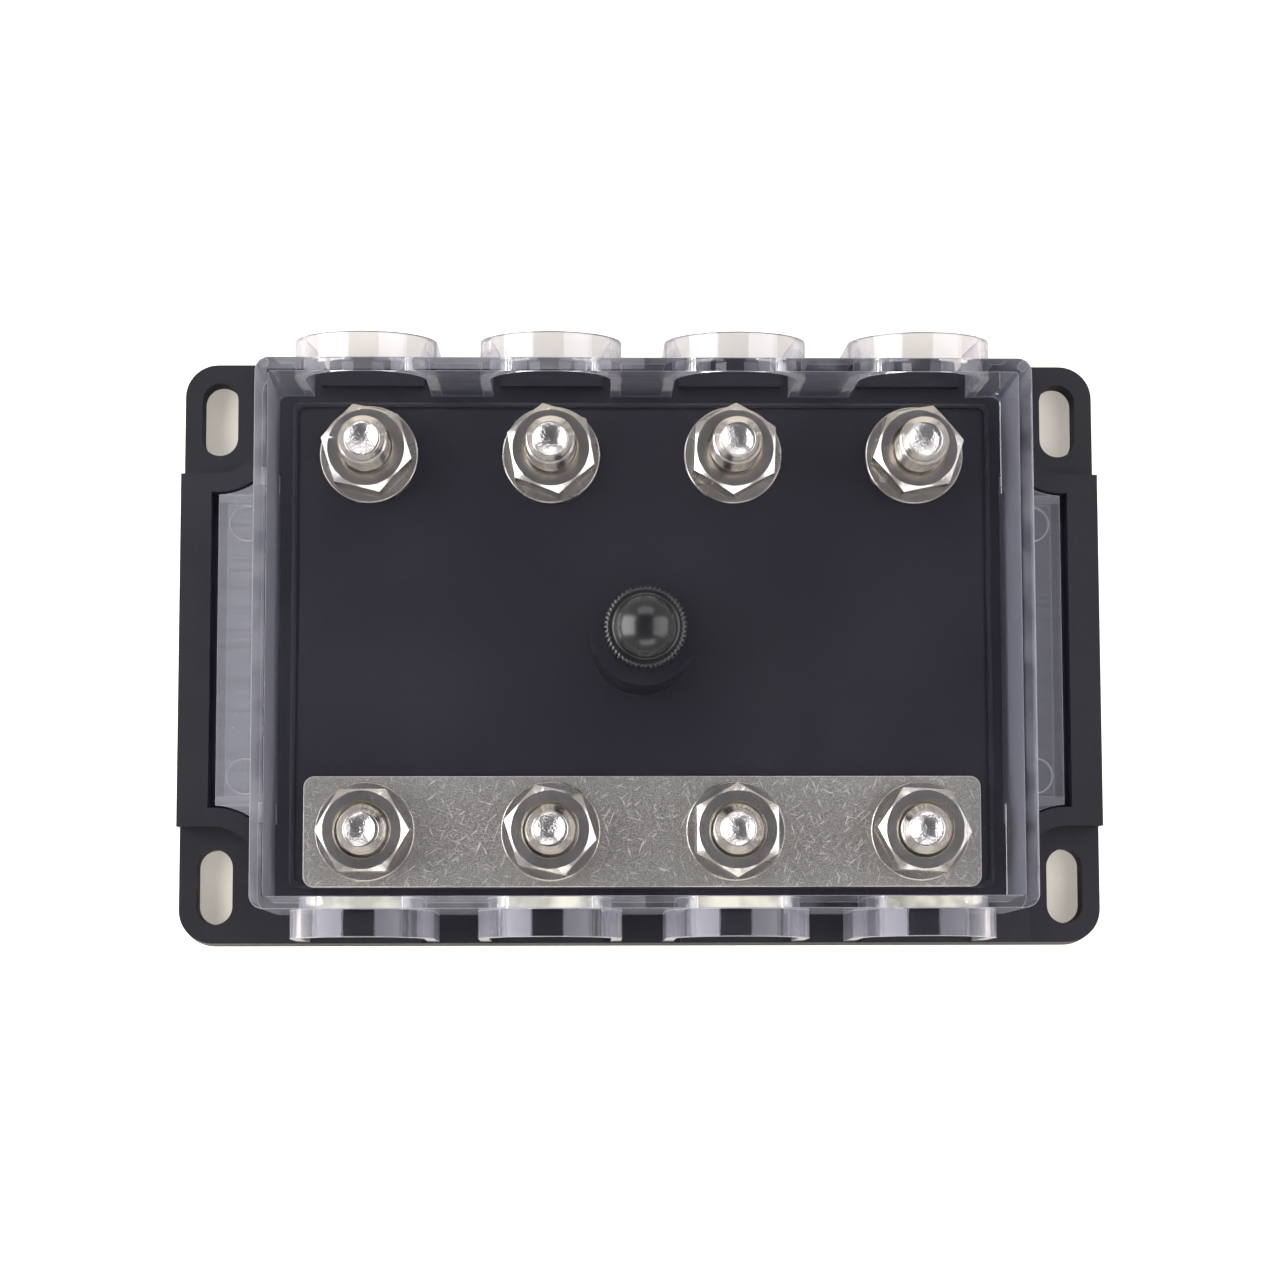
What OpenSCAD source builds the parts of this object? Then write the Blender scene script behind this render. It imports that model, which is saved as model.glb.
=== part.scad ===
// Four way fuse holder for bolt down strip fuses.
// Frame: X along the long side, Y across, Z up, origin at the bottom centre.
// Millimetres.

/* [Base] */
// reach of the lugs past the ends of the ledge
lug_reach = 12.7; // [11.5:0.1:16]
// thickness of the lugs
lug_t = 5; // [4:0.5:8]
// corner radius of the lugs
lug_r = 5.5; // [3:0.5:8]
// distance of a mounting slot from the end of the lugs
slot_end = 5.85; // [5.5:0.05:6.5]
// distance of a mounting slot from the long edge
slot_side = 9.3; // [8:0.1:10]
// width of a mounting slot
slot_w = 6; // [4.5:0.1:7]
// length of a mounting slot
slot_l = 12.4; // [8:0.1:16]
// width of the ledge past each end of the cover
ledge_end = 2.7; // [1.5:0.1:3.5]
// width of the ledge past each long side of the cover
ledge_side = 5.4; // [4.5:0.1:7]
// height of the ledge above the lugs
ledge_h = 5.5; // [3:0.5:8]
// length of the deck past the end studs
deck_end = 12.6; // [11.5:0.1:14]
// depth of the deck past each stud row
deck_side = 8.95; // [8.95:0.05:11]
// height of the deck above the lugs
deck_h = 13.5; // [9:0.5:18]
// chamfer around the top of the deck
deck_edge = 0.4; // [0.2:0.1:1]
// distance of the groove from the edge of the deck
groove_in = 0.8; // [0.5:0.1:1.5]
// width and depth of the groove around the deck
groove_w = 0.6; // [0.4:0.1:1]
// outward lean of the lug edges over their height
base_draft = 0.5; // [0.1:0.1:0.8]
// thickness of the ribs in the hollows underneath
rib_t = 5; // [3:0.5:8]
// wall between a hollow and the stud heads beside it
hollow_wall = 5.5; // [3:0.5:8]
// height of the side rails above the lugs
rail_h = 4.5; // [3:0.5:7]
// width of a side rail
rail_t = 5.1; // [3:0.1:6]
// half length of a side rail
rail_y = 29.4; // [27:0.1:31]
// half length of a side pocket
pocket_y = 26.3; // [24:0.1:28]
// height of the sill in each cable way
sill_h = 2; // [1:0.5:3]
// width of the sill in each cable way
sill_w = 16.9; // [12:0.1:18]

/* [Terminals] */
// spacing of the studs along X
pitch = 29.7; // [28:0.1:32]
// spacing of the two stud rows
row_dy = 61.5; // [58:0.1:64]
// diameter of the stud thread
stud_d = 8; // [6:1:10]
// length of the chamfer at the end of a stud
stud_end = 1.4; // [0.5:0.1:1.5]
// width across flats of nuts and stud heads
nut_af = 13; // [10:0.5:16]
// thickness of a nut
nut_t = 6.8; // [5:0.1:8]
// diameter of the flat face inside the chamfer of a nut
nut_face = 12.4; // [11:0.1:12.8]
// height of a stud head
head_t = 5.3; // [4:0.1:7]
// diameter of the flat washers
washer_d = 16; // [14:0.5:18]
// thickness of the flat washers
washer_t = 1.6; // [1:0.1:2]
// height of the upper row of studs above the deck
stud_h_upper = 17.1; // [14:0.1:18]
// height of the lower row of studs above the deck
stud_h_lower = 13.6; // [13.2:0.1:18]
// length of the bus bar past the end studs
bar_end = 10; // [8.5:0.1:11]
// depth of the bus bar
bar_d = 17.8; // [16.5:0.1:18]
// corner radius of the bus bar
bar_r = 1.8; // [1:0.1:4]
// thickness of the bus bar
bar_t = 3; // [2:0.5:3.5]

/* [Cover] */
// gap between the long sides of the deck and the cover walls at their top
deck_gap = 1.6; // [1:0.1:2.5]
// gap between the ends of the deck and the cover walls at their top
end_gap = 2.15; // [1:0.05:3]
// gap between the tallest stud and the underside of the cover
stud_room = 1.5; // [1:0.1:4]
// wall thickness of the cover
wall = 1.9; // [1.5:0.1:2.5]
// outward lean of each cover wall over its height
draft = 0.8; // [0.2:0.1:1.2]
// corner radius of the cover at its top
cover_r = 2.2; // [1:0.1:4]
// inner radius of the cable collars
collar_ri = 9.75; // [8:0.25:10.5]
// wall thickness of the cable collars
collar_t = 1.65; // [1.2:0.05:2]
// reach of the collars from the cover top edge
collar_reach = 4.3; // [3:0.1:4.4]
// lean of the collar ends over the height of the cover
collar_lean = 0.9; // [0.2:0.1:1]
// drop of the collar crown below the cover top
crown_drop = 0.5; // [0.5:0.5:3]
// gap between a side flange and the rail beside it
rail_gap = 1.2; // [0.5:0.1:2]
// height of a side flange above the lugs
flange_h = 4; // [3:0.1:5]
// wall thickness under the edges of a side flange
skirt_t = 1.4; // [1:0.1:2]
// thickness of the flange plate
flange_t = 1.5; // [1.2:0.1:2]
// diameter of the round moulding marks on the flanges
mark_d = 5.8; // [4:0.2:7]
// distance of the moulding marks from the outer edge of a flange
mark_in = 4.8; // [4:0.1:5.5]
// distance of the moulding marks from the end of a flange
mark_end = 4.8; // [4.5:0.1:8]

/* [Closure] */
// diameter of the centre pillar
pillar_d = 17; // [12:0.5:18]
// diameter of the centre stud thread
cstud_d = 5; // [4:1:6]
// diameter of the thumb nut skirt
knob_d = 13; // [11:0.5:16]
// height of the thumb nut skirt
knob_h = 5; // [4:0.5:7]
// diameter of the thumb nut dome
dome_d = 9.8; // [8:0.2:12]
// total height of the thumb nut
knob_top = 9; // [7:0.5:12]
// depth of the centre stud in its pillar
cstud_in = 12; // [8:0.5:16]
// rise of the centre stud above the cover
cstud_out = 5; // [4:0.1:6]
// number of flutes around the thumb nut
flutes = 30; // [12:2:36]

/* [Fits] */
// gap between a side flange and the ends of its pocket
flange_gap = 0.4; // [0.3:0.1:0.8]
// gap between the cover and the base
seat_gap = 0.3; // [0.2:0.1:0.6]
// radial clearance of a nut on its thread
thread_gap = 0.05; // [0.02:0.01:0.1]
// radial clearance of a stud in its hole
hole_gap = 0.15; // [0.1:0.05:0.3]
// clearance under a turning nut
turn_gap = 0.3; // [0.2:0.1:0.4]

/* [Hidden] */
deck_w = 3 * pitch + 2 * deck_end;
deck_d = row_dy + 2 * deck_side;
cover_w = deck_w + 2 * (end_gap + wall);
cover_d = deck_d + 2 * (deck_gap + wall);
ledge_w = cover_w + 2 * ledge_end;
lug_w = ledge_w + 2 * lug_reach;
lug_d = cover_d + 2 * ledge_side;
slot_dx = lug_w - 2 * slot_end;
slot_dy = lug_d - 2 * slot_side;
bar_w = 3 * pitch + 2 * bar_end;
collar_y = cover_d / 2 + collar_reach;
flange_x = lug_w / 2 - rail_t - rail_gap;
z_ledge = lug_t + ledge_h;
z_deck = lug_t + deck_h;
z_top = z_deck + max(stud_h_upper, stud_h_lower) + stud_room + wall;
z_seat = z_ledge + seat_gap;
collar_ro = collar_ri + collar_t;
z_arc = z_top - crown_drop - collar_ro;
cols = [-1.5, -0.5, 0.5, 1.5];
turns = [47, 40, 28, 11, 0, 48, 30, -3];
head_top = z_deck - 5.5;
z_pillar = z_top - wall - seat_gap;
arm_r = 7.8;
arm_x = lug_w / 2 - rail_t - 0.8;
arm_y = rail_y + arm_r;
arm_t = rail_y - pocket_y;
wall_in = cover_w / 2 - wall + draft;
pocket_in = wall_in - seat_gap;
flange_y = pocket_y - flange_gap;
$fn = 64;

function sx(i) = cols[i % 4] * pitch;
function sy(i) = i < 4 ? row_dy / 2 : -row_dy / 2;
function seat(i) = i < 4 ? z_deck : z_deck + bar_t;

module round_rect(w, d, r) {
  square([w - 2 * r, d], center = true);
  square([w, d - 2 * r], center = true);
  for (x = [-1, 1])
    for (y = [-1, 1])
      translate([x * (w / 2 - r), y * (d / 2 - r)])
        circle(r = r);
}

module slab(w, d, r, z0, z1) {
  translate([0, 0, z0])
    linear_extrude(z1 - z0)
      round_rect(w, d, r);
}

// bar along Y with leaning sides, half sizes given at the top
module lean_bar(hx, hy, z0, z1, lean) {
  translate([0, hy, 0])
    rotate([90, 0, 0])
      linear_extrude(2 * hy)
        polygon([[-hx - lean, z0], [hx + lean, z0], [hx, z1], [-hx, z1]]);
}

// leaning walls joined by conical corners, half sizes and radius given at the top
module cone_box(hx, hy, r, z0, z1, lean) {
  lean_bar(hx, hy - r, z0, z1, lean);
  rotate([0, 0, 90])
    lean_bar(hy, hx - r, z0, z1, lean);
  for (x = [-1, 1])
    for (y = [-1, 1])
      translate([x * (hx - r), y * (hy - r), z0])
        cylinder(r1 = r + lean, r2 = r, h = z1 - z0);
}

// box with leaning walls, half sizes given at the top
module lean_box(hx, hy, z0, z1, lean) {
  intersection() {
    lean_bar(hx, hy + lean, z0, z1, lean);
    rotate([0, 0, 90])
      lean_bar(hy, hx + lean, z0, z1, lean);
  }
}

// outer outline of one rail with its curved arms, right side
module rail_2d() {
  difference() {
    union() {
      translate([ledge_w / 2 - 3, -rail_y])
        square([lug_w / 2 - ledge_w / 2 + 3, 2 * rail_y]);
      for (y = [-1, 1])
        translate([(ledge_w / 2 + arm_x) / 2 - 0.5, y * (rail_y + 1)])
          square([arm_x - ledge_w / 2 + 1, 6], center = true);
    }
    for (y = [-1, 1])
      translate([arm_x, y * arm_y])
        circle(r = arm_r);
    for (y = [-1, 1])
      translate([arm_x + 5, y * (rail_y + 5)])
        square([10, 10], center = true);
  }
}

// outline of a side pocket, drawn in by gap for the flange that sits in it
module pocket_2d(x0, x1, gap) {
  difference() {
    translate([x0, gap - rail_y])
      square([x1 - x0, 2 * (rail_y - gap)]);
    for (y = [-1, 1])
      translate([arm_x, y * arm_y])
        circle(r = arm_r + arm_t + gap);
    for (y = [-1, 1])
      translate([arm_x + 5, y * (pocket_y - gap + 5)])
        square([10, 10], center = true);
  }
}

module sides() {
  children();
  mirror([1, 0, 0])
    children();
}

module base() {
  color("#2c2d31")
    difference() {
      union() {
        cone_box(lug_w / 2, lug_d / 2, lug_r, 0, lug_t, base_draft);
        slab(ledge_w, lug_d, 0.6, 0, z_ledge);
        slab(deck_w, deck_d, 1.5, 0, z_deck - deck_edge);
        intersection() {
          slab(deck_w, deck_d, 1.5, z_deck - deck_edge - 1, z_deck);
          lean_box(deck_w / 2 - deck_edge, deck_d / 2 - deck_edge, z_deck - deck_edge, z_deck, deck_edge);
        }
        sides()
          linear_extrude(lug_t + rail_h)
            rail_2d();
        for (c = cols)
          for (y = [-1, 1])
            translate([c * pitch - sill_w / 2, y * (lug_d / 2 - 2.55) - 2.45, z_ledge - 1])
              cube([sill_w, 4.9, sill_h + 1]);
        translate([0, 0, z_deck - 1])
          cylinder(d = pillar_d, h = z_pillar - z_deck + 1);
      }
      sides()
        translate([0, 0, lug_t])
          linear_extrude(z_top)
            pocket_2d(pocket_in, lug_w / 2 - rail_t, 0);
      for (x = [-1, 1])
        for (y = [-1, 1])
          translate([x * slot_dx / 2, y * slot_dy / 2, -1])
            linear_extrude(lug_t + 2)
              round_slot();
      for (i = [0 : 7])
        translate([sx(i), sy(i), 0])
          stud_hole(i);
      for (x = cols)
        translate([x * (pitch - rib_t / 2), 0, -1])
          linear_extrude(z_deck - 3)
            hollow_2d();
      translate([0, 0, z_deck - groove_w])
        linear_extrude(groove_w + 1)
          groove_2d();
      translate([0, 0, z_pillar - cstud_in])
        cylinder(d = cstud_d + 2 * hole_gap, h = cstud_in + 1);
    }
}

// narrow groove just inside the edge of the deck
module groove_2d() {
  w = deck_w - 2 * groove_in;
  d = deck_d - 2 * groove_in;
  difference() {
    round_rect(w, d, 1.2);
    round_rect(w - 2 * groove_w, d - 2 * groove_w, 0.6);
  }
}

module hollow_2d() {
  difference() {
    square([pitch - rib_t, row_dy - nut_af - 2 * hollow_wall], center = true);
    square([pitch, rib_t / 2], center = true);
  }
}

module round_slot() {
  square([slot_w, slot_l - slot_w], center = true);
  for (y = [-1, 1])
    translate([0, y * (slot_l - slot_w) / 2])
      circle(d = slot_w);
}

module stud_hole(i) {
  translate([0, 0, -1])
    cylinder(d = stud_d + 2 * hole_gap, h = z_deck + 2);
  translate([0, 0, -1])
    rotate([0, 0, 30])
      cylinder(r = (nut_af / 2 + hole_gap) / cos(30), h = head_top + 1, $fn = 6);
}

module bus_bar() {
  color("#9a978f")
    difference() {
      translate([0, -row_dy / 2, 0])
        slab(bar_w, bar_d, bar_r, z_deck, z_deck + bar_t);
      for (i = [4 : 7])
        translate([sx(i), sy(i), z_deck - 1])
          cylinder(d = stud_d + 4 * hole_gap, h = bar_t + 2);
    }
}

// shared screw with a hexagon head held in the base
module stud(i) {
  tip = z_deck + (i < 4 ? stud_h_upper : stud_h_lower);
  color("#c9c5bb")
    translate([sx(i), sy(i), 0]) {
      translate([0, 0, head_top - head_t])
        rotate([0, 0, 30])
          cylinder(r = nut_af / 2 / cos(30), h = head_t, $fn = 6);
      translate([0, 0, head_top - 1])
        cylinder(d = stud_d, h = tip - stud_end - head_top + 1);
      translate([0, 0, tip - stud_end])
        cylinder(d1 = stud_d, d2 = stud_d - 2 * stud_end, h = stud_end);
    }
}

module washer(i) {
  color("#bdb9b0")
    translate([sx(i), sy(i), seat(i)])
      difference() {
        cylinder(d = washer_d, h = washer_t);
        translate([0, 0, -1])
          cylinder(d = stud_d + 4 * hole_gap, h = washer_t + 2);
      }
}

module nut(i) {
  color("#d2cec4")
    translate([sx(i), sy(i), seat(i) + washer_t + turn_gap])
      rotate([0, 0, turns[i]])
        difference() {
          intersection() {
            cylinder(r = nut_af / 2 / cos(30), h = nut_t, $fn = 6);
            nut_limit();
          }
          translate([0, 0, -1])
            cylinder(d = stud_d + 2 * thread_gap, h = nut_t + 2);
          translate([0, 0, nut_t - 0.5])
            cylinder(d1 = stud_d + 2 * thread_gap, d2 = stud_d + 1.1, h = 0.51);
        }
}

// turned chamfer of 30 degrees at both ends of a nut
module nut_limit() {
  rf = nut_face / 2;
  rc = nut_af / 2 / cos(30) + 0.2;
  drop = (rc - rf) * tan(30);
  rotate_extrude()
    polygon([[0, 0], [rf, 0], [rc, drop], [rc, nut_t - drop], [rf, nut_t], [0, nut_t]]);
}

module arch_2d(r, foot) {
  translate([0, z_arc])
    circle(r = r);
  translate([-r, foot])
    square([2 * r, z_arc - foot]);
}

// the arches of all cable ways, cut through the whole depth
module arches(r, foot) {
  for (c = cols)
    translate([c * pitch, lug_d / 2 + 1, 0])
      rotate([90, 0, 0])
        linear_extrude(lug_d + 2)
          arch_2d(r, foot);
}

// one side flange, an upside down tray that hangs in the pocket of the base
module flange() {
  z0 = lug_t + seat_gap;
  z1 = lug_t + flange_h;
  difference() {
    translate([0, 0, z0])
      linear_extrude(z1 - z0)
        pocket_2d(wall_in, flange_x, flange_gap);
    translate([wall_in + wall, -flange_y - 5, z0 - 1])
      cube([flange_x - skirt_t - wall_in - wall, 2 * flange_y + 10, z1 - flange_t - z0 + 1]);
    for (y = [-1, 1])
      translate([flange_x - mark_in, y * (flange_y - mark_end), z1 - 0.2])
        cylinder(d = mark_d, h = 1);
  }
  for (y = [-1, 1])
    translate([wall_in, y * (flange_y - skirt_t / 2) - skirt_t / 2, z0])
      cube([flange_x - wall_in, skirt_t, z1 - z0]);
  translate([wall_in, -flange_y, z0])
    cube([wall, 2 * flange_y, z_seat + 1 - z0]);
}

// the cover's outside, or its inside drawn in by inset
module cover_box(inset, z0, z1) {
  cone_box(cover_w / 2 - inset, cover_d / 2 - inset, max(cover_r - inset, 0.6), z0, z1, draft);
}

module cover() {
  color("#cfd2e2", 0.35)
    difference() {
      union() {
        cover_box(0, z_seat, z_top);
        intersection() {
          arches(collar_ro, z_seat);
          lean_box(cover_w / 2, collar_y, z_seat, z_top, collar_lean);
        }
        sides()
          flange();
      }
      cover_box(wall, z_seat - 1, z_top - wall);
      arches(collar_ri, z_seat - 1);
      translate([0, 0, z_top - wall - 1])
        cylinder(d = cstud_d + 4 * hole_gap, h = wall + 2);
    }
}

module cover_stud() {
  color("#c9c5bb")
    union() {
      translate([0, 0, z_pillar - cstud_in])
        cylinder(d = cstud_d, h = cstud_in + wall + seat_gap + cstud_out);
      translate([0, 0, z_top + cstud_out])
        cylinder(d1 = cstud_d, d2 = cstud_d - 1.2, h = 0.6);
    }
}

// domed thumb nut with a fluted skirt
module thumb_nut() {
  rise = knob_top - knob_h;
  color("#232428")
    translate([0, 0, z_top + turn_gap])
      difference() {
        union() {
          cylinder(d = knob_d, h = knob_h - 0.8);
          translate([0, 0, knob_h - 0.8])
            cylinder(d1 = knob_d, d2 = knob_d - 1.6, h = 0.8);
          translate([0, 0, knob_h])
            cylinder(d = dome_d, h = 0.6);
          intersection() {
            translate([0, 0, knob_h + 0.6 - 1.3])
              sphere(r = rise - 0.6 + 1.3);
            translate([0, 0, knob_h + 0.6])
              cylinder(d = dome_d, h = rise);
          }
        }
        for (k = [0 : flutes - 1])
          rotate([0, 0, k * 360 / flutes])
            translate([knob_d / 2 + 0.25, 0, -1])
              cylinder(r = 0.6, h = knob_h + 2, $fn = 12);
        translate([0, 0, -1])
          cylinder(d = cstud_d + 2 * thread_gap, h = cstud_out + 2.3);
      }
}

base();
bus_bar();
stud(0);  // stud_1
stud(1);  // stud_2
stud(2);  // stud_3
stud(3);  // stud_4
stud(4);  // stud_5
stud(5);  // stud_6
stud(6);  // stud_7
stud(7);  // stud_8
washer(0);  // washer_1
washer(1);  // washer_2
washer(2);  // washer_3
washer(3);  // washer_4
washer(4);  // washer_5
washer(5);  // washer_6
washer(6);  // washer_7
washer(7);  // washer_8
nut(0);  // nut_1
nut(1);  // nut_2
nut(2);  // nut_3
nut(3);  // nut_4
nut(4);  // nut_5
nut(5);  // nut_6
nut(6);  // nut_7
nut(7);  // nut_8
cover();
cover_stud();
thumb_nut();
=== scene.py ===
"""Looks of the fuse holder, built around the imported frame."""
import math

import bpy
import numpy as np
from mathutils import Matrix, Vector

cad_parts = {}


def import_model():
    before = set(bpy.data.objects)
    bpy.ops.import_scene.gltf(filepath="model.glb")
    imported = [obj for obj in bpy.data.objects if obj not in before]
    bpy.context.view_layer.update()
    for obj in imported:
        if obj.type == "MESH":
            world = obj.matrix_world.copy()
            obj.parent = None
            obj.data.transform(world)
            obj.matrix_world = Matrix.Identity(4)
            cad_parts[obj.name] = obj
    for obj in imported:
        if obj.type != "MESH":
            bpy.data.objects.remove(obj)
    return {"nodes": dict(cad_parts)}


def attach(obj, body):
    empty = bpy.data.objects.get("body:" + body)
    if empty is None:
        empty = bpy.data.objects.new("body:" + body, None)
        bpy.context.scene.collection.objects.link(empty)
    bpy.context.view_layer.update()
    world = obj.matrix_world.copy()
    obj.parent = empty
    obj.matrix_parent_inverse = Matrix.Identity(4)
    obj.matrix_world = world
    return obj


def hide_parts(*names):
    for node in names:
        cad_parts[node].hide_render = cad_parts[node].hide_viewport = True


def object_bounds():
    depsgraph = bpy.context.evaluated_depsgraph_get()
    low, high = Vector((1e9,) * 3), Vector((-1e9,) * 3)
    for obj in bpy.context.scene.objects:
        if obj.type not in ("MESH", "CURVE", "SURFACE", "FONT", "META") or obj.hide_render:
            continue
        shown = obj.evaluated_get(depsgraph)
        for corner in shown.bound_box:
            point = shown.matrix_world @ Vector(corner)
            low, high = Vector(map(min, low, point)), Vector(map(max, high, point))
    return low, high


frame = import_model()
cad_box = [list(map(float, c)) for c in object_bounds()]
MM = 0.001
PITCH, ROW = 29.7, 30.75
STUDS = [(PITCH * (k - 1.5), y) for y in (ROW, -ROW) for k in range(4)]
Z_TOP = 39.0


# camera -------------------------------------------------------------
def camera():
    """Camera fitted to the edges of the object in the photograph."""
    cam = bpy.data.cameras.new("cam")
    cam.sensor_width = 36.0
    cam.lens = 2876.5 / 1280 * 36.0
    cam.shift_x, cam.shift_y = -0.0026, 0.0064
    cam.clip_start, cam.clip_end = 0.01, 20
    o = bpy.data.objects.new("cam", cam)
    bpy.context.collection.objects.link(o)
    rx = Matrix.Rotation(0.1, 3, "X")
    ry = Matrix.Rotation(-0.022, 3, "Y")
    rz = Matrix.Rotation(-0.002, 3, "Z")
    m = (rz @ ry @ rx).to_4x4()
    m.translation = (-0.010169, -0.047592, 0.485151)
    o.matrix_world = m
    bpy.context.scene.camera = o


camera()


# material helpers -----------------------------------------------------
def lin(hexa, alpha=1.0):
    """sRGB hex to linear RGBA."""
    v = [int(hexa[k:k + 2], 16) / 255 for k in (1, 3, 5)]
    return tuple(c / 12.92 if c <= 0.04045 else ((c + 0.055) / 1.055) ** 2.4 for c in v) + (alpha,)


def node(nt, kind, links=None, **values):
    """Adds a node, sets its properties or inputs, links inputs from (node, output)."""
    n = nt.nodes.new(kind)
    for k, v in values.items():
        if hasattr(n, k):
            setattr(n, k, v)
        else:
            n.inputs[k.replace("_", " ")].default_value = v
    for k, (src, out) in (links or {}).items():
        nt.links.new(src.outputs[out], n.inputs[k])
    return n


def calc(nt, op, a, b=0.0, c=0.0):
    """Math node, each input a number or a (node, output) pair."""
    pairs = {k: v for k, v in enumerate((a, b, c)) if isinstance(v, tuple)}
    n = node(nt, "ShaderNodeMath", pairs, operation=op)
    for k, v in enumerate((a, b, c)):
        if k not in pairs:
            n.inputs[k].default_value = v
    return (n, 0)


def within(nt, v, lo, hi):
    """1 where v lies between lo and hi."""
    return calc(nt, "COMPARE", v, (lo + hi) / 2, (hi - lo) / 2)


def material(name):
    m = bpy.data.materials.new(name)
    m.use_nodes = True
    nt = m.node_tree
    bsdf = nt.nodes["Principled BSDF"]
    return m, nt, bsdf


def ramp(nt, src, out, stops):
    r = node(nt, "ShaderNodeValToRGB", {"Fac": (src, out)})
    e = r.color_ramp.elements
    e[0].position, e[0].color = stops[0]
    e[1].position, e[1].color = stops[1]
    for p, c in stops[2:]:
        x = e.new(p)
        x.color = c
    return r


def black_moulded(name, dark, light, gloss):
    """Satin black moulded plastic: fine grain, flow marks, a little pale dust, and a painted
    lighter tone in the side pockets that lifts their shade."""
    m, nt, b = material(name)
    co = node(nt, "ShaderNodeTexCoord")
    fine = node(nt, "ShaderNodeTexNoise", {"Vector": (co, "Object")}, Scale=2600.0, Detail=3.0)
    broad = node(nt, "ShaderNodeTexNoise", {"Vector": (co, "Object")}, Scale=45.0, Detail=4.0)
    dust = node(nt, "ShaderNodeTexVoronoi", {"Vector": (co, "Object")}, Scale=420.0)
    tone = ramp(nt, broad, "Fac", [(0.3, lin(dark)), (0.75, lin(light))])
    speck = ramp(nt, dust, "Distance", [(0.0, (1, 1, 1, 1)), (0.045, (0, 0, 0, 1))])
    gate = ramp(nt, broad, "Fac", [(0.56, (0, 0, 0, 1)), (0.7, (0.5, 0.5, 0.5, 1))])
    amount = calc(nt, "MULTIPLY", (speck, "Color"), (gate, "Color"))
    mix = node(nt, "ShaderNodeMix", {"Factor": amount, 6: (tone, "Color")}, data_type="RGBA")
    mix.inputs[7].default_value = lin("#8f8f94")
    pos = node(nt, "ShaderNodeSeparateXYZ", {"Vector": (co, "Object")})
    ax, ay = calc(nt, "ABSOLUTE", (pos, "X")), calc(nt, "ABSOLUTE", (pos, "Y"))
    # painted light: the side pockets lie in shade, and this mask gives them a lighter violet grey that lifts it
    deep = calc(nt, "MULTIPLY", within(nt, ax, 0.0655, 0.0716), calc(nt, "LESS_THAN", ay, 0.0275))
    deep = calc(nt, "MULTIPLY", deep, within(nt, (pos, "Z"), 0.004, 0.0093))
    painted_pocket_light = node(nt, "ShaderNodeMix", {"Factor": deep, 6: (mix, 2)}, data_type="RGBA")
    painted_pocket_light.inputs[7].default_value = lin("#34323f")
    nt.links.new(painted_pocket_light.outputs[2], b.inputs["Base Color"])
    rough = ramp(nt, broad, "Fac", [(0.3, (gloss,) * 3 + (1,)), (0.7, (gloss + 0.1,) * 3 + (1,))])
    nt.links.new(rough.outputs["Color"], b.inputs["Roughness"])
    bump = node(nt, "ShaderNodeBump", {"Height": (fine, "Fac")}, Strength=0.12, Distance=0.0002)
    nt.links.new(bump.outputs[0], b.inputs["Normal"])
    b.inputs["IOR"].default_value = 1.46
    b.inputs["Specular Tint"].default_value = lin("#f2f0ff")
    return m


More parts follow.
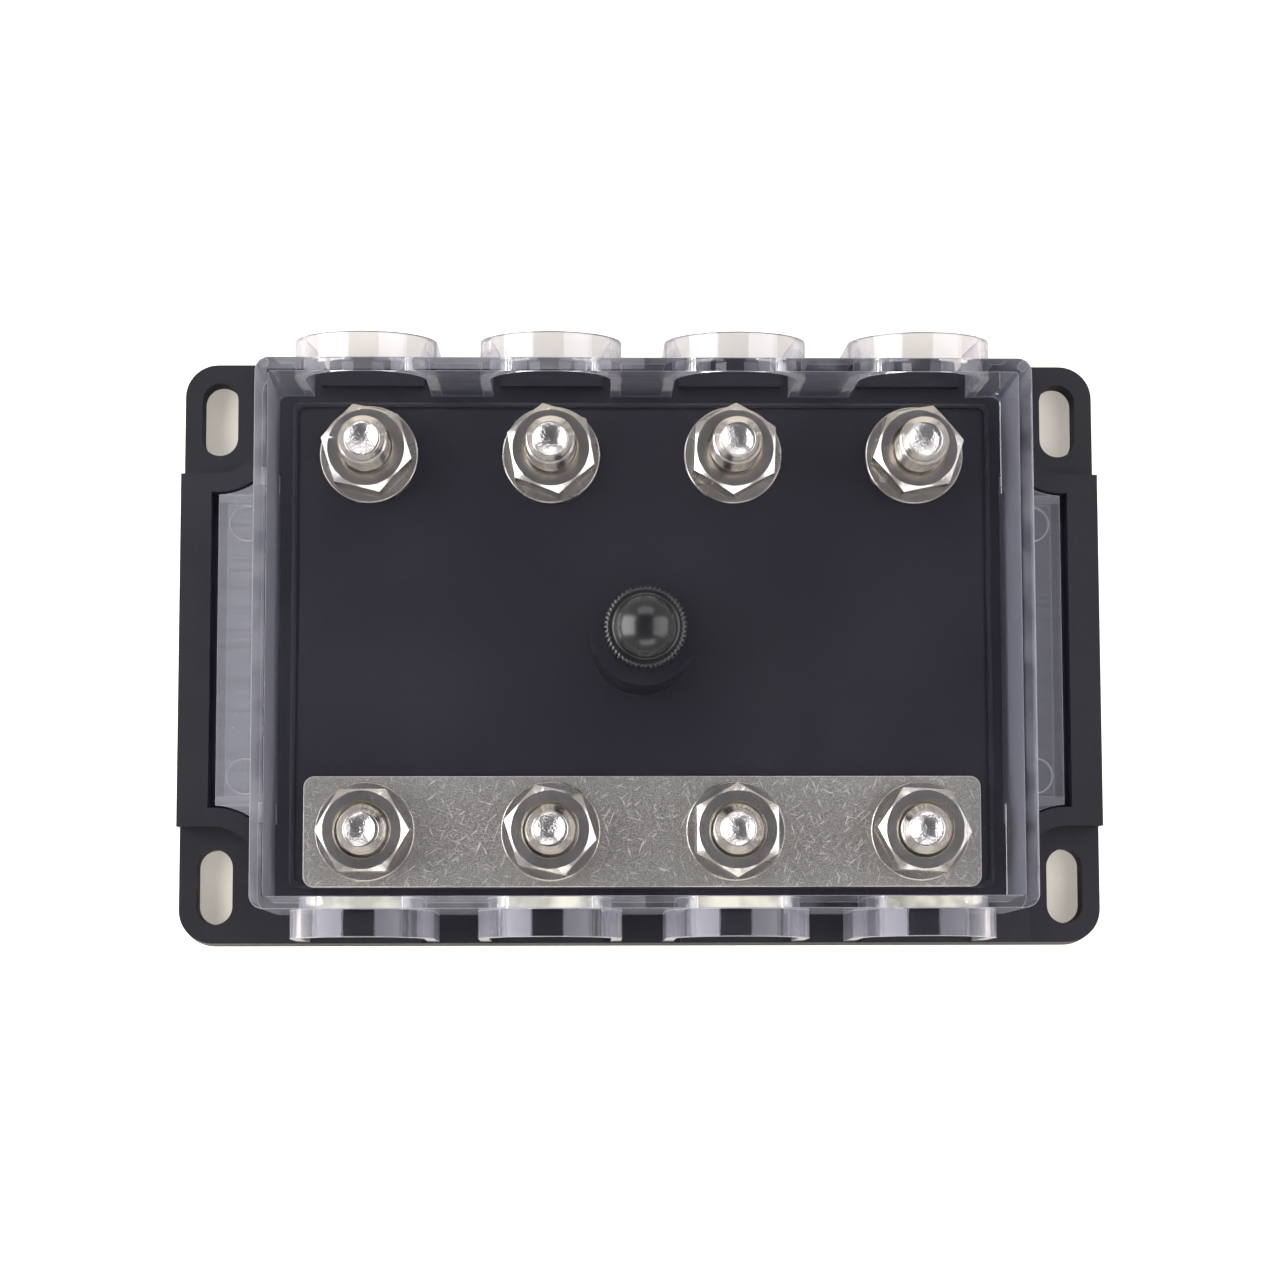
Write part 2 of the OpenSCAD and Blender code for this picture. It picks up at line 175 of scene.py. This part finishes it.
def clear_moulded():
    """Clear polycarbonate. A painted diffuse glow stands in for light caught in the plastic:
    steep walls carry more of it than flat faces, most of all to the left, and so does the rim,
    with faint streaks. The low flanges are frosted with fine brush lines, with more painted
    light on the left, and a painted highlight rings each moulding mark; painted cream light lies
    on the front rim over each collar, and the top has a faint uneven haze. A narrow painted
    highlight runs along every edge. Lets the light through to what it covers."""
    m, nt, b = material("clear_moulded")
    co = node(nt, "ShaderNodeTexCoord")
    b.inputs["Base Color"].default_value = lin("#f0f0f5")
    b.inputs["Specular Tint"].default_value = lin("#efecfa")
    b.inputs["Transmission Weight"].default_value = 1.0
    b.inputs["IOR"].default_value = 1.49
    b.inputs["Roughness"].default_value = 0.02
    wave = node(nt, "ShaderNodeTexNoise", {"Vector": (co, "Object")}, Scale=60.0, Detail=2.0)
    bump = node(nt, "ShaderNodeBump", {"Height": (wave, "Fac")}, Strength=0.02, Distance=0.0004)
    nt.links.new(bump.outputs[0], b.inputs["Normal"])
    geo = node(nt, "ShaderNodeNewGeometry")
    face = node(nt, "ShaderNodeSeparateXYZ", {"Vector": (geo, "Normal")})
    up = calc(nt, "ABSOLUTE", (face, "Z"))
    side = calc(nt, "ABSOLUTE", (face, "X"))
    pos = node(nt, "ShaderNodeSeparateXYZ", {"Vector": (co, "Object")})
    x, y, z = (pos, "X"), (pos, "Y"), (pos, "Z")
    ax, ay = calc(nt, "ABSOLUTE", x), calc(nt, "ABSOLUTE", y)
    low = calc(nt, "LESS_THAN", z, 0.0095)
    left = calc(nt, "LESS_THAN", x, 0.0)
    # painted glow standing in for light caught in the walls, more on the two long side walls, most on the left one
    steep = ramp(nt, up[0], 0, [(0.2, (0.18,) * 3 + (1,)), (0.9, (0.0,) * 3 + (1,))])
    wall = calc(nt, "MULTIPLY", within(nt, side, 0.9, 1.1), within(nt, ax, 0.057, 0.0625))
    walls = calc(nt, "MULTIPLY_ADD", wall, calc(nt, "MULTIPLY_ADD", left, 0.06, 0.13), (steep, "Color"))
    # painted light on the rim of the top over the walls, more on the left, with streaks along it
    top = calc(nt, "GREATER_THAN", z, 0.0388)
    edge = calc(nt, "MAXIMUM", calc(nt, "GREATER_THAN", ax, 0.0593), calc(nt, "GREATER_THAN", ay, 0.0413))
    streak = node(nt, "ShaderNodeTexNoise", {"Vector": (co, "Object")}, Scale=180.0, Detail=2.0)
    band = ramp(nt, streak, "Fac", [(0.4, (0.0,) * 3 + (1,)), (0.65, (0.08,) * 3 + (1,))])
    rim = calc(nt, "MULTIPLY", calc(nt, "MULTIPLY", top, edge), calc(nt, "MULTIPLY_ADD", left, 0.1, (band, "Color")))
    cloud = node(nt, "ShaderNodeTexNoise", {"Vector": (co, "Object")}, Scale=28.0, Detail=3.0)
    haze = ramp(nt, cloud, "Fac", [(0.35, (0.0,) * 3 + (1,)), (0.7, (0.004,) * 3 + (1,))])
    # frosting of the low flanges, partly real frost and partly painted light, twice as strong on the left as on the
    # right; lighter on their end skirts
    mp = node(nt, "ShaderNodeMapping", {"Vector": (co, "Object")})
    mp.inputs["Scale"].default_value = (90, 1700, 90)
    brush = node(nt, "ShaderNodeTexNoise", {"Vector": (mp, "Vector")}, Scale=1.0, Detail=3.0)
    frost = ramp(nt, brush, "Fac", [(0.3, (0.2,) * 3 + (1,)), (0.7, (0.28,) * 3 + (1,))])
    painted_left_light = calc(nt, "MULTIPLY_ADD", left, 0.5, 0.5)
    skirt = calc(nt, "MULTIPLY", within(nt, ay, 0.0245, 0.026), 0.1)
    spot = node(nt, "ShaderNodeCombineXYZ", {"X": ax, "Y": ay})
    ring = node(nt, "ShaderNodeVectorMath", {0: (spot, 0)}, operation="DISTANCE")
    ring.inputs[1].default_value = (0.0655, 0.0211, 0)
    # painted highlight: a narrow light ring round each moulding mark
    mark = calc(nt, "MULTIPLY", within(nt, (ring, "Value"), 0.0028, 0.0030), 0.4)
    flange = calc(nt, "MAXIMUM", mark, calc(nt, "MULTIPLY_ADD", (frost, "Color"), painted_left_light, skirt))
    flange = calc(nt, "MULTIPLY", flange, low)
    # dust
    dust = node(nt, "ShaderNodeTexVoronoi", {"Vector": (co, "Object")}, Scale=330.0)
    speck = ramp(nt, dust, "Distance", [(0.0, (0.35, 0.35, 0.35, 1)), (0.04, (0, 0, 0, 1))])
    patch = node(nt, "ShaderNodeTexNoise", {"Vector": (co, "Object")}, Scale=70.0, Detail=4.0)
    gate = ramp(nt, patch, "Fac", [(0.58, (0, 0, 0, 1)), (0.68, (1, 1, 1, 1))])
    marks = calc(nt, "MULTIPLY", (speck, "Color"), (gate, "Color"))
    share = calc(nt, "ADD", calc(nt, "ADD", walls, flange), calc(nt, "ADD", marks, (haze, "Color")))
    # painted highlight: a narrow light stripe along every edge, where the bevelled normal turns away from the face
    # normal
    turned_in = node(nt, "ShaderNodeBevel", Radius=0.00022)
    turned_in.samples = 4
    flat = node(nt, "ShaderNodeVectorMath", {0: (turned_in, 0), 1: (geo, "Normal")}, operation="DOT_PRODUCT")
    line = ramp(nt, flat, "Value", [(0.86, (0.62,) * 3 + (1,)), (0.97, (0.0,) * 3 + (1,))])
    share = calc(nt, "MAXIMUM", calc(nt, "ADD", share, rim), (line, "Color"))
    # painted glow: a lilac grey diffuse layer mixed into the glass by the share above, standing in for light caught in
    # the plastic
    painted_glow = node(nt, "ShaderNodeBsdfDiffuse")
    painted_glow.inputs["Color"].default_value = lin("#c8c8d0")
    glass = node(nt, "ShaderNodeMixShader", {"Fac": share, 1: (b, "BSDF"), 2: (painted_glow, "BSDF")})
    # painted cream light on the front rim over each collar, fading to its ends
    along = calc(nt, "PINGPONG", calc(nt, "ADD", x, PITCH * 2 * MM), PITCH / 2 * MM)
    away = calc(nt, "MULTIPLY", calc(nt, "SUBTRACT", PITCH / 2 * MM, along), 100.0)
    fade = ramp(nt, away[0], 0, [(0.4, (0.62,) * 3 + (1,)), (0.85, (0.0,) * 3 + (1,)), (0.62, (0.35,) * 3 + (1,))])
    uneven = ramp(nt, streak, "Fac", [(0.4, (0.55,) * 3 + (1,)), (0.6, (1.0,) * 3 + (1,))])
    fade = calc(nt, "MULTIPLY", (fade, "Color"), (uneven, "Color"))
    front = calc(nt, "MULTIPLY", calc(nt, "MULTIPLY", top, within(nt, y, -0.0431, -0.0414)), fade)
    cream = node(nt, "ShaderNodeBsdfDiffuse")
    cream.inputs["Color"].default_value = lin("#e2e0d2")
    seen = node(nt, "ShaderNodeMixShader", {"Fac": front, 1: (glass, 0), 2: (cream, "BSDF")})
    path = node(nt, "ShaderNodeLightPath")
    clear = node(nt, "ShaderNodeBsdfTransparent")
    clear.inputs["Color"].default_value = lin("#d8d9de")
    either = calc(nt, "MAXIMUM", (path, "Is Shadow Ray"), (path, "Is Diffuse Ray"))
    mix = node(nt, "ShaderNodeMixShader", {"Fac": either, 1: (seen, 0), 2: (clear, "BSDF")})
    nt.links.new(mix.outputs[0], nt.nodes["Material Output"].inputs["Surface"])
    return m


def plated(name, hexa, rough, grain):
    """Bright nickel plate over steel with a fine random grain and small marks."""
    m, nt, b = material(name)
    co = node(nt, "ShaderNodeTexCoord")
    n1 = node(nt, "ShaderNodeTexNoise", {"Vector": (co, "Object")}, Scale=2600.0, Detail=4.0)
    n2 = node(nt, "ShaderNodeTexNoise", {"Vector": (co, "Object")}, Scale=220.0, Detail=3.0)
    b.inputs["Metallic"].default_value = 1.0
    tone = ramp(nt, n2, "Fac", [(0.3, tuple(0.92 * c for c in lin(hexa)[:3]) + (1,)), (0.7, lin(hexa))])
    nt.links.new(tone.outputs["Color"], b.inputs["Base Color"])
    r = ramp(nt, n2, "Fac", [(0.3, (rough,) * 3 + (1,)), (0.75, (rough + 0.05,) * 3 + (1,))])
    nt.links.new(r.outputs["Color"], b.inputs["Roughness"])
    share = ramp(nt, n2, "Fac", [(0.42, (0.3, 0.3, 0.3, 1)), (0.58, (1, 1, 1, 1))])
    high = node(nt, "ShaderNodeMath", {0: (n1, "Fac"), 1: (share, "Color")}, operation="MULTIPLY")
    bump = node(nt, "ShaderNodeBump", {"Height": (high, 0)}, Strength=grain, Distance=0.00012)
    nt.links.new(bump.outputs[0], b.inputs["Normal"])
    return m


def scratched_bar():
    """Nickel plated bar: crossing hairline scratches, pits and speckle."""
    m, nt, b = material("scratched_bar")
    co = node(nt, "ShaderNodeTexCoord")
    b.inputs["Metallic"].default_value = 1.0
    lines = None
    for k, (ang, sc) in enumerate(((20, 420), (75, 520), (128, 460), (160, 380))):
        mp = node(nt, "ShaderNodeMapping", {"Vector": (co, "Object")}, vector_type="TEXTURE")
        mp.inputs["Rotation"].default_value = (0, 0, math.radians(ang))
        mp.inputs["Scale"].default_value = (1, 8, 1)
        mp.inputs["Location"].default_value = (0.013 * k, 0.02 * k, 0)
        v = node(nt, "ShaderNodeTexNoise", {"Vector": (mp, "Vector")}, Scale=float(sc * 7), Detail=2.0, Distortion=0.4)
        s = ramp(nt, v, "Fac", [(0.64, (0, 0, 0, 1)), (0.74, (0.8, 0.8, 0.8, 1))])
        if lines is None:
            lines = s
            out = "Color"
        else:
            lines = node(nt, "ShaderNodeMath", {0: (lines, out), 1: (s, "Color")}, operation="MAXIMUM")
            out = 0
    speck = node(nt, "ShaderNodeTexNoise", {"Vector": (co, "Object")}, Scale=5200.0, Detail=3.0)
    tone = ramp(nt, speck, "Fac", [(0.38, lin("#95928a")), (0.62, lin("#c2beb3"))])
    mix = node(nt, "ShaderNodeMix", {"Factor": (lines, out), 6: (tone, "Color")}, data_type="RGBA")
    mix.inputs[7].default_value = lin("#efebe2")
    nt.links.new(mix.outputs[2], b.inputs["Base Color"])
    r = ramp(nt, speck, "Fac", [(0.3, (0.34,) * 3 + (1,)), (0.7, (0.5,) * 3 + (1,))])
    nt.links.new(r.outputs["Color"], b.inputs["Roughness"])
    add = node(nt, "ShaderNodeMath", {0: (lines, out), 1: (speck, "Fac")}, operation="ADD")
    bump = node(nt, "ShaderNodeBump", {"Height": (add, 0)}, Strength=0.35, Distance=0.00006)
    nt.links.new(bump.outputs[0], b.inputs["Normal"])
    return m


def worn_edge(name, hexa):
    """Plated edge worn bright: a pale satin skin with fine nicks."""
    m, nt, b = material(name)
    co = node(nt, "ShaderNodeTexCoord")
    nick = node(nt, "ShaderNodeTexNoise", {"Vector": (co, "Object")}, Scale=1500.0, Detail=3.0)
    tone = ramp(nt, nick, "Fac", [(0.35, tuple(0.7 * c for c in lin(hexa)[:3]) + (1,)), (0.6, lin(hexa))])
    nt.links.new(tone.outputs["Color"], b.inputs["Base Color"])
    b.inputs["Metallic"].default_value = 0.35
    b.inputs["Roughness"].default_value = 0.4
    return m


def gloss_black():
    """Glossy black moulded plastic of the thumb nut."""
    m, nt, b = material("gloss_black")
    co = node(nt, "ShaderNodeTexCoord")
    n = node(nt, "ShaderNodeTexNoise", {"Vector": (co, "Object")}, Scale=500.0, Detail=3.0)
    b.inputs["Base Color"].default_value = lin("#17171a")
    r = ramp(nt, n, "Fac", [(0.3, (0.2,) * 3 + (1,)), (0.7, (0.28,) * 3 + (1,))])
    nt.links.new(r.outputs["Color"], b.inputs["Roughness"])
    bump = node(nt, "ShaderNodeBump", {"Height": (n, "Fac")}, Strength=0.05, Distance=0.0001)
    nt.links.new(bump.outputs[0], b.inputs["Normal"])
    return m


BLACK = black_moulded("black_moulded", "#0f0f12", "#141417", 0.42)
# painted highlight: lighter grey tones for the rounded edges of the base, standing in for light caught along each edge
BLACK_EDGE_HIGHLIGHT = black_moulded("black_edge_highlight", "#36363b", "#46464c", 0.3)
CLEAR = clear_moulded()
STEEL = plated("plated_steel", "#e0dace", 0.19, 0.02)
WASHER = plated("plated_washer", "#d3cec3", 0.24, 0.08)
ROUGH_END = plated("cropped_end", "#ebe7df", 0.17, 0.8)
BAR = scratched_bar()
BAR_EDGE = worn_edge("bar_edge", "#f0eadb")
KNOB = gloss_black()


# mesh helpers ---------------------------------------------------------
def obj_from(name, verts, faces, mat, body, smooth=True):
    me = bpy.data.meshes.new(name)
    me.from_pydata([tuple(v) for v in verts], [], [tuple(f) for f in faces])
    me.update()
    if smooth:
        me.polygons.foreach_set("use_smooth", [True] * len(me.polygons))
    me.materials.append(mat)
    o = bpy.data.objects.new(name, me)
    bpy.context.collection.objects.link(o)
    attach(o, body)
    return o


def welded(name, cad, body, mat, bevel, edge=None, angle=30, segments=2):
    """A joined-up copy of a CAD node with rounded edges, in place of the node. The rounded
    edges take the edge material, if there is one."""
    import bmesh
    src = frame["nodes"][cad]
    bm = bmesh.new()
    bm.from_mesh(src.data)
    bmesh.ops.remove_doubles(bm, verts=bm.verts, dist=2e-6)
    bmesh.ops.dissolve_limit(bm, angle_limit=math.radians(0.6), verts=bm.verts, edges=bm.edges)
    for e in bm.edges:
        e.smooth = len(e.link_faces) < 2 or e.calc_face_angle(0.0) < math.radians(28)
    me = bpy.data.meshes.new(name)
    bm.to_mesh(me)
    bm.free()
    me.materials.clear()
    for q in filter(None, (mat, edge)):
        me.materials.append(q)
    o = bpy.data.objects.new(name, me)
    bpy.context.collection.objects.link(o)
    mod = o.modifiers.new("round", "BEVEL")
    mod.material = 1 if edge else -1
    mod.width = bevel * MM
    mod.segments = segments
    mod.limit_method = "ANGLE"
    mod.angle_limit = math.radians(angle)
    mod.use_clamp_overlap = True
    me.polygons.foreach_set("use_smooth", [True] * len(me.polygons))
    wn = o.modifiers.new("flats", "WEIGHTED_NORMAL")
    wn.mode = "FACE_AREA"
    wn.weight = 100
    wn.keep_sharp = True
    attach(o, body)
    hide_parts(cad)
    return o


def grid_faces(rows, cols, closed=True):
    """Quads of a rows x cols grid, closed round the columns."""
    i = np.arange(rows - 1)[:, None] * cols
    j = np.arange(cols if closed else cols - 1)[None, :]
    k = (j + 1) % cols
    a = np.stack([i + j, i + k, i + cols + k, i + cols + j], -1)
    return a.reshape(-1, 4)


def turned(prof, n):
    """Rings of n points for (radius, z) pairs."""
    t = np.linspace(0, 2 * np.pi, n, endpoint=False)
    p = np.asarray(prof, float)
    return np.stack([p[:, :1] * np.cos(t), p[:, :1] * np.sin(t), np.repeat(p[:, 1:], n, 1)], -1)


def screw(k):
    """Threaded stud. r(theta, z) = 4 - 0.62 * tri((z - p * theta / 2 pi) / p), p = 1.25,
    cut by a 45 degree end chamfer, with a dished, cropped end."""
    x, y = STUDS[k]
    rng = np.random.default_rng(k)
    tip = 18.5 + (17.1 if k < 4 else 13.6)
    n, p = 72, 1.25
    t = np.linspace(0, 2 * np.pi, n, endpoint=False)
    z = np.arange(13.0, tip, 0.11)
    ph = (z[:, None] / p - t[None, :] / (2 * np.pi)) % 1.0
    tri = np.abs(ph * 2 - 1)
    tri = np.clip(tri * 1.25 - 0.12, 0, 1)
    r = 4.0 - 0.62 * tri
    cap = 2.8 + (tip - z[:, None]) * 1.0
    r = np.minimum(r, cap)
    ring = np.stack([r * np.cos(t), r * np.sin(t), np.broadcast_to(z[:, None], r.shape)], -1)
    # lip and dished end: z = tip - depth * (1 - (r / 2.68)^2), tilted a little
    ends = []
    lean = rng.uniform(0, 2 * np.pi)
    for a in np.concatenate([[2.8, 2.68], np.linspace(2.6, 0.02, 14)]):
        d = -0.6 * (1 - (a / 2.68) ** 2) if a < 2.65 else 0.0
        tilt = 0.05 * a * np.cos(t) + 0.04 * a * np.cos(t - lean)
        rough = tilt + rng.normal(0, 0.016, n) * (1.3 - np.cos(t)) / 2 if a < 2.65 else 0.0 * t
        ends.append(np.stack([a * np.cos(t), a * np.sin(t), np.minimum(tip - 0.01 + d + rough, tip)], -1))
    pts = np.concatenate([ring, np.array(ends)])
    rows = len(pts)
    verts = pts.reshape(-1, 3)
    faces = grid_faces(rows, n).tolist()
    faces.append(list(range((rows - 1) * n, rows * n)))
    faces.append(list(range(n))[::-1])
    # hexagon head
    base = len(verts)
    af = 13.0
    ang = np.radians(30 + 60 * np.arange(6))
    cr = af / 2 / math.cos(math.radians(30))
    hexa = np.stack([cr * np.cos(ang), cr * np.sin(ang)], -1)
    head = np.concatenate([np.c_[hexa, np.full(6, 13.0)], np.c_[hexa, np.full(6, 7.7)]])
    verts = np.concatenate([verts, head])
    faces += [[base + q, base + 6 + q, base + 6 + (q + 1) % 6, base + (q + 1) % 6] for q in range(6)]
    faces += [[base + q for q in range(6)], [base + 11 - q for q in range(6)]]
    verts = (verts + np.array([x, y, 0])) * MM
    o = obj_from(f"screw_{k + 1}", verts, faces, STEEL, "base")
    o.data.materials.append(ROUGH_END)
    first = (len(ring) - 1) * n
    idx = [1 if first + 2 * n <= q <= first + 16 * n else 0 for q in range(len(faces))]
    o.data.polygons.foreach_set("material_index", idx)
    sm = [q < first + 16 * n for q in range(len(faces))]
    o.data.polygons.foreach_set("use_smooth", sm)
    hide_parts(f"stud_{k + 1}")
    return o


def knob():
    """Domed thumb nut. Skirt r = 6.5 - 0.3 * (1 - |cos(n theta / 2)|) with n = 52,
    rounded into a dome of radius 4.9 and height 4."""
    n = 480
    t = np.linspace(0, 2 * np.pi, n, endpoint=False)
    z0 = Z_TOP + 0.3
    rows = []
    skirt = 1 - np.abs(np.cos(52 * t / 2)) ** 0.8
    top = max(v.co.z for v in frame["nodes"]["cover_stud"].data.vertices) / MM - z0 + 0.3
    for r, z, w in ((0.05, top, 0), (2.55, top, 0), (2.55, 0.0, 0), (5.8, 0.0, 0.2), (6.25, 0.1, 0.8), (6.5, 0.35, 1), (6.5, 1.2, 1), (6.5, 2.2, 1),
                    (6.5, 3.2, 1), (6.5, 4.3, 1), (6.4, 4.65, 0.9), (6.15, 4.9, 0.5), (5.8, 5.0, 0.1), (5.4, 5.02, 0),
                    (5.1, 5.05, 0), (4.93, 5.15, 0), (4.88, 5.4, 0)):
        rr = r - 0.42 * w * skirt
        rows.append(np.stack([rr * np.cos(t), rr * np.sin(t), np.full(n, z0 + z)], -1))
    for a in np.radians(np.linspace(4, 89.5, 16)):
        r = 4.86 * math.cos(a)
        rows.append(np.stack([r * np.cos(t), r * np.sin(t), np.full(n, z0 + 5.4 + 3.58 * math.sin(a))], -1))
    pts = np.array(rows)
    verts = pts.reshape(-1, 3) * MM
    faces = grid_faces(len(rows), n).tolist()
    faces.append(list(range((len(rows) - 1) * n, len(rows) * n)))
    faces.append(list(range(n))[::-1])
    o = obj_from("knob", verts, faces, KNOB, "thumb_nut")
    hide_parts("thumb_nut")
    return o


# pieces ---------------------------------------------------------------
# the rounded edges of the base take the lighter edge material, a painted highlight along each edge
welded("base_moulding", "base", "base", BLACK, 0.3, BLACK_EDGE_HIGHLIGHT)
welded("cover_moulding", "cover", "cover", CLEAR, 0.25)
welded("bar", "bus_bar", "base", BAR, 0.35, BAR_EDGE)
for k in range(8):
    screw(k)
    welded(f"flat_washer_{k + 1}", f"washer_{k + 1}", "base", WASHER, 0.18)
    welded(f"hex_nut_{k + 1}", f"nut_{k + 1}", f"nut_{k + 1}", STEEL, 0.12)
knob()
cs = frame["nodes"]["cover_stud"]
cs.data.materials.clear()
cs.data.materials.append(STEEL)


# floor, light, world ----------------------------------------------------
def floor():
    """Warm white table. It glows a little for the camera outside the footprint of the object, and less
    within it, where the glow is painted light lifting the shade on the ground seen through the slots."""
    m, nt, b = material("floor")
    co = node(nt, "ShaderNodeTexCoord")
    n = node(nt, "ShaderNodeTexNoise", {"Vector": (co, "Object")}, Scale=300.0)
    tone = ramp(nt, n, "Fac", [(0.3, lin("#dcd6cd")), (0.7, lin("#e2dcd4"))])
    nt.links.new(tone.outputs["Color"], b.inputs["Base Color"])
    b.inputs["Roughness"].default_value = 0.9
    b.inputs["Emission Color"].default_value = lin("#fff6e8")
    pos = node(nt, "ShaderNodeSeparateXYZ", {"Vector": (co, "Object")})
    parts = []
    for axis, half in (("X", 0.0745), ("Y", 0.0465)):
        d = node(nt, "ShaderNodeMath", {0: (pos, axis)}, operation="ABSOLUTE")
        g = node(nt, "ShaderNodeMath", {0: (d, 0)}, operation="GREATER_THAN")
        g.inputs[1].default_value = half
        parts.append(g)
    out = node(nt, "ShaderNodeMath", {0: (parts[0], 0), 1: (parts[1], 0)}, operation="MAXIMUM")
    path = node(nt, "ShaderNodeLightPath")
    seen = node(nt, "ShaderNodeMath", {0: (path, "Is Camera Ray"), 1: (out, 0)}, operation="MULTIPLY")
    # painted light: every camera ray sees the floor glow a little, which lifts the shade on the ground seen through
    # the slots
    under = calc(nt, "MULTIPLY", (path, "Is Camera Ray"), 0.28)
    glow = calc(nt, "MAXIMUM", calc(nt, "MULTIPLY", (seen, 0), 0.75), under)
    nt.links.new(glow[0].outputs[0], b.inputs["Emission Strength"])
    me = bpy.data.meshes.new("floor")
    s, z = 4.0, cad_box[0][2] - 0.0001
    me.from_pydata([(-s, -s, z), (s, -s, z), (s, s, z), (-s, s, z)], [], [(0, 1, 2, 3)])
    me.materials.append(m)
    o = bpy.data.objects.new("floor", me)
    bpy.context.collection.objects.link(o)


def area(name, pos, size, power, target=(0, 0, 0.02)):
    li = bpy.data.lights.new(name, "AREA")
    li.shape = "RECTANGLE"
    li.size, li.size_y = size
    li.energy = power
    o = bpy.data.objects.new(name, li)
    bpy.context.collection.objects.link(o)
    d = np.array(target) - np.array(pos)
    from mathutils import Vector
    o.rotation_euler = Vector(d).to_track_quat("-Z", "Y").to_euler()
    o.location = pos
    return o


def world():
    """Warm pale room, dark violet grey straight overhead."""
    w = bpy.data.worlds.new("world")
    bpy.context.scene.world = w
    w.use_nodes = True
    nt = w.node_tree
    bg = nt.nodes["Background"]
    co = node(nt, "ShaderNodeTexCoord")
    sep = node(nt, "ShaderNodeSeparateXYZ", {"Vector": (co, "Generated")})
    g = ramp(nt, sep, "Z", [(0.0, (0.82, 0.79, 0.74, 1)), (1.0, (0.085, 0.083, 0.095, 1)),
                            (0.55, (0.78, 0.75, 0.7, 1)), (0.8, (0.3, 0.285, 0.3, 1)), (0.93, (0.105, 0.102, 0.118, 1))])
    path = node(nt, "ShaderNodeLightPath")
    mix = node(nt, "ShaderNodeMix", {"Factor": (path, "Is Camera Ray"), 6: (g, "Color")}, data_type="RGBA")
    mix.inputs[7].default_value = (1, 1, 1, 1)
    nt.links.new(mix.outputs[2], bg.inputs["Color"])
    bg.inputs["Strength"].default_value = 1.0


floor()
world()
area("left", (-0.75, 0.05, 0.52), (0.85, 0.85), 13.5)
area("right", (0.67, 0.0, 0.67), (0.88, 0.85), 6.5)
area("back", (0.0, 0.9, 0.9), (0.9, 0.5), 3)
area("front", (0.1, -0.9, 0.8), (0.9, 0.4), 3)
bpy.context.scene.view_settings.view_transform = "Standard"
